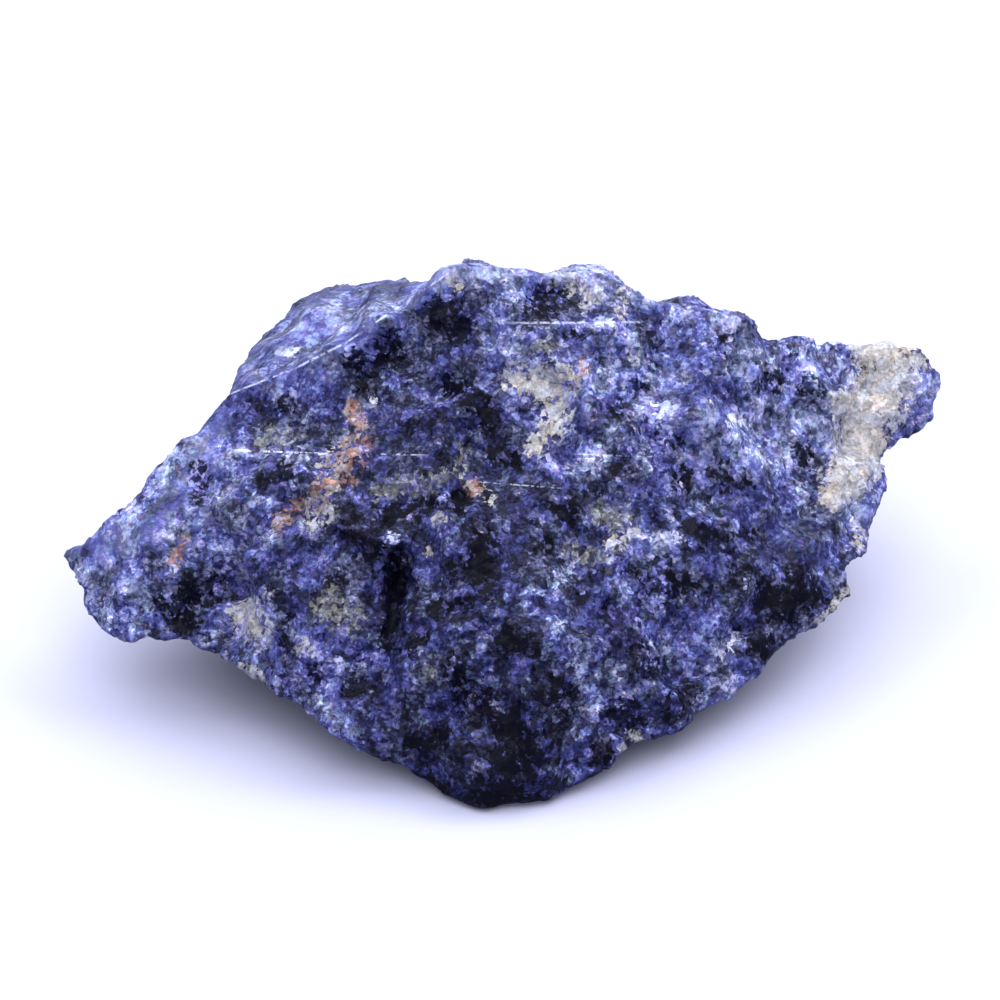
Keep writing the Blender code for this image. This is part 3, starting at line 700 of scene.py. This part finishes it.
def model_stone():
    """The CAD stone, finely meshed, with its foot brought forward and its broken grain raised."""
    stone = copy_cad_stone()
    remesh = stone.modifiers.new("fine mesh", "REMESH")
    remesh.mode = "VOXEL"
    remesh.voxel_size = MESH_SPACING * MM
    bpy.ops.object.modifier_apply(modifier=remesh.name)
    bring_foot_forward(stone.data)
    across, up, facing = as_painted(stone.data)[:3]
    keep_values(stone.data, "calm", strongest(across, up, CALM) * facing)
    grain = stone.modifiers.new("broken grain", "NODES")
    grain.node_group = grain_relief()
    bpy.ops.object.modifier_apply(modifier=grain.name)
    bpy.ops.object.shade_smooth()
    return stone


def vertex_places(mesh):
    """Each vertex's place in mm and its normal."""
    places = np.empty(len(mesh.vertices) * 3)
    mesh.vertices.foreach_get("co", places)
    normals = np.empty(len(mesh.vertices) * 3)
    mesh.vertices.foreach_get("normal", normals)
    return places.reshape(-1, 3) / MM, normals.reshape(-1, 3)


def view_directions():
    """The directions out of the picture towards the eye, and up in the picture."""
    slope = math.radians(ELEVATION)
    return Vector((0, -math.cos(slope), math.sin(slope))), Vector((0, math.sin(slope), math.cos(slope)))


def as_seen(places):
    """Where the view shows each place, in mm across and up, and the direction from it to the camera."""
    out, up = (np.array(direction) for direction in view_directions())
    from_aim = places - np.array(AIM)
    scale = AIM_DISTANCE / (AIM_DISTANCE - from_aim @ out)
    to_camera = out * AIM_DISTANCE - from_aim
    to_camera /= np.linalg.norm(to_camera, axis=1)[:, None]
    return from_aim[:, 0] * scale, from_aim @ up * scale, to_camera


def as_painted(mesh):
    """Where the view shows each vertex, how much of the view's strokes it takes, and of its thin lines: these
    only where the surface faces the camera, since they would run wide on a surface seen at a graze."""
    places, normals = vertex_places(mesh)
    across, up, to_camera = as_seen(places)
    towards = (normals * to_camera).sum(1) * TURN_AWAY
    return across, up, np.clip(towards + STROKES_REACH, 0, 1), np.clip(towards + LINES_REACH, 0, 1)


def path_strength(across, up, path):
    """1 on the path's middle line, 0.5 at its radius, falling to 0 at twice the radius."""
    best = np.zeros(len(across))
    ends = path[1:] if len(path) > 1 else path
    for (x0, y0, r0), (x1, y1, r1) in zip(path, ends):
        length = max((x1 - x0) ** 2 + (y1 - y0) ** 2, 1e-9)
        along = np.clip(((across - x0) * (x1 - x0) + (up - y0) * (y1 - y0)) / length, 0, 1)
        gap = np.hypot(across - x0 - along * (x1 - x0), up - y0 - along * (y1 - y0))
        best = np.maximum(best, np.clip(1 - gap / (2 * (r0 + along * (r1 - r0))), 0, 1))
    return best


def strongest(across, up, strokes):
    """The strongest of the strokes at each place."""
    amount = np.zeros(len(across))
    for strength, path in strokes:
        amount = np.maximum(amount, path_strength(across, up, path) * strength)
    return amount


def bring_foot_forward(mesh):
    """Moves the foot of the broad face a little out and down, to where it meets the floor."""
    places = vertex_places(mesh)[0]
    share = np.exp(-(((places[:, 0] - FOOT_MIDDLE) / FOOT_HALF_WIDTH) ** 2))
    share *= np.clip(1 - places[:, 2] / FOOT_HEIGHT, 0, 1) ** 0.7
    share *= np.clip((FOOT_STARTS - places[:, 1]) / (FOOT_STARTS - FOOT_FULL), 0, 1)
    places[:, 1] -= FOOT_FORWARD * share
    lowest = np.minimum(places[:, 2], FLOOR_CLEARANCE)
    places[:, 2] = np.maximum(places[:, 2] - FOOT_DROP * share, lowest)
    mesh.vertices.foreach_set("co", (places * MM).ravel())
    mesh.update()


def keep_values(mesh, name, values):
    layer = mesh.attributes.new(name, "FLOAT", "POINT")
    layer.data.foreach_set("value", values.astype(np.float32))


def strewn(places, hidden, patches, random):
    """Short streaks of patches over the hidden sides, each along its own slant."""
    amount = np.zeros(len(places))
    count, strength, radius = patches
    starts = places[hidden > 0.5]
    for middle in starts[random.integers(len(starts), size=count)]:
        slant = random.normal(size=3)
        slant *= random.uniform(*STREAK_LENGTHS) * radius / np.linalg.norm(slant)
        size = radius * random.uniform(*STREAK_WIDTHS)
        along = np.clip((places - middle) @ slant / (slant @ slant), -1, 1)
        gap = np.linalg.norm(places - middle - along[:, None] * slant, axis=1)
        amount = np.maximum(amount, np.clip(1 - gap / (2 * size), 0, 1) * strength)
    return amount * hidden


def paint_patches(mesh):
    """Keeps the strength of each mineral at each vertex, with painted shade among the black ones and painted
    sheen among the frost ones: on the seen side from the strokes as the view shows them, on the hidden sides
    strewn. Keeps the tone strokes too, with their painted light and shade."""
    places = vertex_places(mesh)[0]
    across, up, facing, for_lines = as_painted(mesh)
    keep_values(mesh, "for lines", for_lines)
    random = np.random.default_rng(BACK_SEED)
    for kind, strokes in PATCHES.items():
        amount = strongest(across, up, strokes) * facing
        amount = np.maximum(amount, strewn(places, 1 - facing, BACK_PATCHES[kind], random))
        keep_values(mesh, kind, amount)
    # The tone: the stone's own lighter and darker places, with painted light and shade.
    tone_and_painted_light = strongest(across, up, LIGHTER) - strongest(across, up, DARKER)
    keep_values(mesh, "tone_and_painted_light", tone_and_painted_light * facing)


def attribute(tree, name):
    return node(tree, "ShaderNodeAttribute", attribute_name=name).outputs["Fac"]


def grain_pack(tree, place, size, shift):
    at = shifted(tree, place, size, shift)
    cell = node(tree, "ShaderNodeTexVoronoi", {"Vector": at, "Scale": 1.0})
    values = node(tree, "ShaderNodeSeparateColor", {0: cell.outputs["Color"]}).outputs
    return Pack(values[0], values[1], values[2], tilted_face(tree, at, cell))


def patch_share(tree, kind, crumble):
    """How much of a patch shows at a point: the patch's strength, its edge broken by the crumble. The patches
    are minerals, and the black and frost ones also hold painted shade and sheen.
    """
    amount = attribute(tree, kind)
    broken = by(tree, crumble, spread(tree, amount, EDGE_STARTS, EDGE_FULL, 0.0, EDGE_REACH))
    return spread(tree, plus(tree, amount, broken), *PATCH_SHOWS)


def vein_and_highlight_mask(tree, place, crumble):
    """1 on the thin veins and on the painted highlights along the crest, which are planes through the eye of
    the view, broken here and there.
    """
    out, rise = view_directions()
    eye = AIM + out * AIM_DISTANCE
    from_eye = vectors(tree, "SUBTRACT", place, tuple(eye))
    best = 0.0
    for (x0, y0), (x1, y1), half_width, strength, whole in VEINS_AND_HIGHLIGHTS:
        first = AIM + Vector((x0, 0, 0)) + rise * y0 - eye
        last = AIM + Vector((x1, 0, 0)) + rise * y1 - eye
        across = first.cross(last).normalized()
        along = (last - first).normalized()
        off = maths(tree, "ABSOLUTE", dot(tree, from_eye, tuple(across)))
        line = spread(tree, off, *(half_width * part for part in LINE_FADES), strength, 0.0)
        reach = maths(tree, "SUBTRACT", dot(tree, from_eye, tuple(along)), (first + last).dot(along) / 2)
        half_length = (last - first).length / 2
        fades = half_length - LINE_ENDS, half_length + LINE_ENDS
        ends = spread(tree, maths(tree, "ABSOLUTE", reach), *fades, 1.0, 0.0)
        gaps = spread(tree, crumble, *(value - whole * LINE_WHOLE for value in LINE_BREAKS))
        best = maths(tree, "MAXIMUM", by(tree, by(tree, line, ends), gaps), best)
    return by(tree, best, attribute(tree, "for lines"))


def stone_lightness(tree, place, sparkle, share):
    """The lightness of the blue stone at each point, from wide and middling clouds, grains and strokes."""
    wide = noise(tree, place, *CLOUDS["wide"])
    middle = noise(tree, place, *CLOUDS["middle"])
    value = weighted(tree, MEAN_LIGHTNESS, [(wide, WIDE_CHANGE), (middle, MIDDLE_CHANGE)])
    calmed = spread(tree, attribute(tree, "calm"), *CALM_CHANGES, 1.0, CALM_SPARKLE)
    lit = spread(tree, attribute(tree, "tone_and_painted_light"), *LIGHT_CHANGES, 1.0, LIGHT_SPARKLE)
    # The sparkle: the grains' own lightness, and painted glints.
    value = plus(tree, value, by(tree, sparkle, by(tree, calmed, lit)))
    # Painted shade in the grain's hollows, and lighter frosted raised crumbs.
    value = plus(tree, value, by(tree, attribute(tree, "relief"), RELIEF_CHANGE))
    # Painted light and shade from the tone strokes, with the stone's own lighter and darker places.
    value = plus(tree, value, by(tree, attribute(tree, "tone_and_painted_light"), STROKE_CHANGE))
    for kind, change in PATCH_CHANGES.items():
        value = plus(tree, value, by(tree, share[kind], change))
    return value


def blue_and_slate(tree, bent, packs, value, share):
    """The blue stone: violet-blue and slate in clouds, each grain with a hint of its own."""
    clouds = noise(tree, bent, *CLOUDS["hue"])
    grains = [(packs[name].hue, weight) for name, weight in HUE_OF_GRAINS.items()]
    slate_share = spread(tree, weighted(tree, 0.5, [(clouds, 1.0)] + grains), *SLATE_SHOWS)
    slate_share = maths(tree, "ADD", slate_share, by(tree, share["black_and_shade"], BLACK_TURNS), clamp=True)
    bluer = maths(tree, "MAXIMUM", share["deep"], share["bright"])
    slate_share = maths(tree, "SUBTRACT", slate_share, by(tree, bluer, BLUE_TURNS_BACK), clamp=True)
    colour = blend(tree, slate_share, ramp(tree, value, BLUE), ramp(tree, value, SLATE))
    return blend(tree, 1.0, colour, ramp(tree, packs["medium"].edge, HINTS), "MULTIPLY")


def other_minerals(tree, colour, packs, sparkle, share):
    """The colour with the patches of the other minerals over it."""
    lightness = plus(tree, by(tree, sparkle, MINERAL_SPARKLE), 0.5)
    warmth = ramp(tree, packs["coarse"].edge, WARMTHS)
    for kind, (cover, *tones) in MINERALS.items():
        own = ramp(tree, lightness, list(zip(MINERAL_STOPS, tones)))
        own = blend(tree, 1.0, own, warmth, "MULTIPLY")
        if kind == "rust":
            pale = ramp(tree, lightness, list(zip(MINERAL_STOPS, PALE_RUST)))
            own = blend(tree, spread(tree, packs["medium"].hue, *PALE_RUST_SHOWS), own, pale)
        colour = blend(tree, by(tree, share[kind], cover), colour, own)
    return colour


def sodalite():
    """The stone's material. Its places are in mm."""
    material = bpy.data.materials.new("sodalite")
    material.use_nodes = True
    tree = material.node_tree
    shader = tree.nodes["Principled BSDF"]
    place = times(tree, node(tree, "ShaderNodeTexCoord").outputs["Object"], 1 / MM)
    bent = wander(tree, place, BENDS_PER_MM, COLOUR_BEND)
    packs = {name: grain_pack(tree, bent, size, shift) for name, (size, shift) in COLOUR_GRAINS.items()}
    small = noise(tree, place, *CLOUDS["small"])

    ragged = noise(tree, place, *CLOUDS["ragged"])
    breaks = [(packs[name].edge, weight) for name, weight in EDGE_BREAKS.items()]
    crumble = weighted(tree, 0.0, [(ragged, RAGGED_BREAK)] + breaks)
    share = {kind: patch_share(tree, kind, crumble) for kind in PATCHES}
    lights = [(packs[name].light if name in packs else small, weight) for name, weight in SPARKLES.items()]
    sparkle = weighted(tree, 0.0, lights)

    value = stone_lightness(tree, place, sparkle, share)
    colour = blue_and_slate(tree, bent, packs, value, share)
    colour = other_minerals(tree, colour, packs, sparkle, share)
    # Pale veins, and painted highlights along the crest.
    colour = blend(tree, vein_and_highlight_mask(tree, place, crumble), colour, VEIN_AND_HIGHLIGHT_COLOUR)
    feed(tree, shader.inputs["Base Color"], colour)
    rough = spread(tree, packs["coarse"].hue, *ROUGHNESS_CHANGES, *ROUGHNESS, smooth=False)
    feed(tree, shader.inputs["Roughness"], rough)
    shader.inputs["Specular IOR Level"].default_value = REFLECTION

    height = 0.0
    for name, rise in BUMPS.items():
        height = plus(tree, by(tree, packs[name].face if name in packs else small, rise * MM), height)
    bump = node(tree, "ShaderNodeBump", {"Height": height, "Distance": 1.0, "Strength": 1.0})
    feed(tree, shader.inputs["Normal"], bump.outputs[0])
    return material


def lay_floor():
    bpy.ops.object.select_all(action="DESELECT")
    bpy.ops.mesh.primitive_plane_add(size=FLOOR_SIZE, location=(0, 0, 0))
    floor = bpy.context.view_layer.objects.active
    floor.name = "floor"
    material = bpy.data.materials.new("pale floor")
    material.use_nodes = True
    shader = material.node_tree.nodes["Principled BSDF"]
    shader.inputs["Base Color"].default_value = FLOOR_COLOUR
    shader.inputs["Roughness"].default_value = FLOOR_ROUGHNESS
    shader.inputs["Specular IOR Level"].default_value = FLOOR_REFLECTION
    floor.data.materials.append(material)


def light_scene():
    world = bpy.data.worlds.new("pale room")
    world.use_nodes = True
    sky = world.node_tree.nodes["Background"]
    sky.inputs["Color"].default_value = ROOM_COLOUR
    sky.inputs["Strength"].default_value = ROOM_STRENGTH
    bpy.context.scene.world = world
    for name, (place, size, watts) in LIGHTS.items():
        data = bpy.data.lights.new(name, "AREA")
        data.shape = "SQUARE"
        data.size = size * MM
        data.energy = watts
        light = bpy.data.objects.new(name, data)
        bpy.context.collection.objects.link(light)
        light.location = Vector(place) * MM
        light.rotation_euler = (AIM - Vector(place)).to_track_quat("-Z", "Y").to_euler()


def set_camera():
    data = bpy.data.cameras.new("camera")
    data.lens = LENS
    data.sensor_width = SENSOR
    data.clip_start = 0.01
    data.clip_end = 20
    camera = bpy.data.objects.new("camera", data)
    bpy.context.collection.objects.link(camera)
    camera.location = (AIM + view_directions()[0] * AIM_DISTANCE) * MM
    camera.rotation_euler = (math.pi / 2 - math.radians(ELEVATION), 0, 0)
    bpy.context.scene.camera = camera


set_camera()
light_scene()
lay_floor()
stone = model_stone()
paint_patches(stone.data)
stone.data.materials.clear()
stone.data.materials.append(sodalite())
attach(stone, "root")
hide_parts(STONE)
bpy.context.scene.view_settings.view_transform = "Standard"
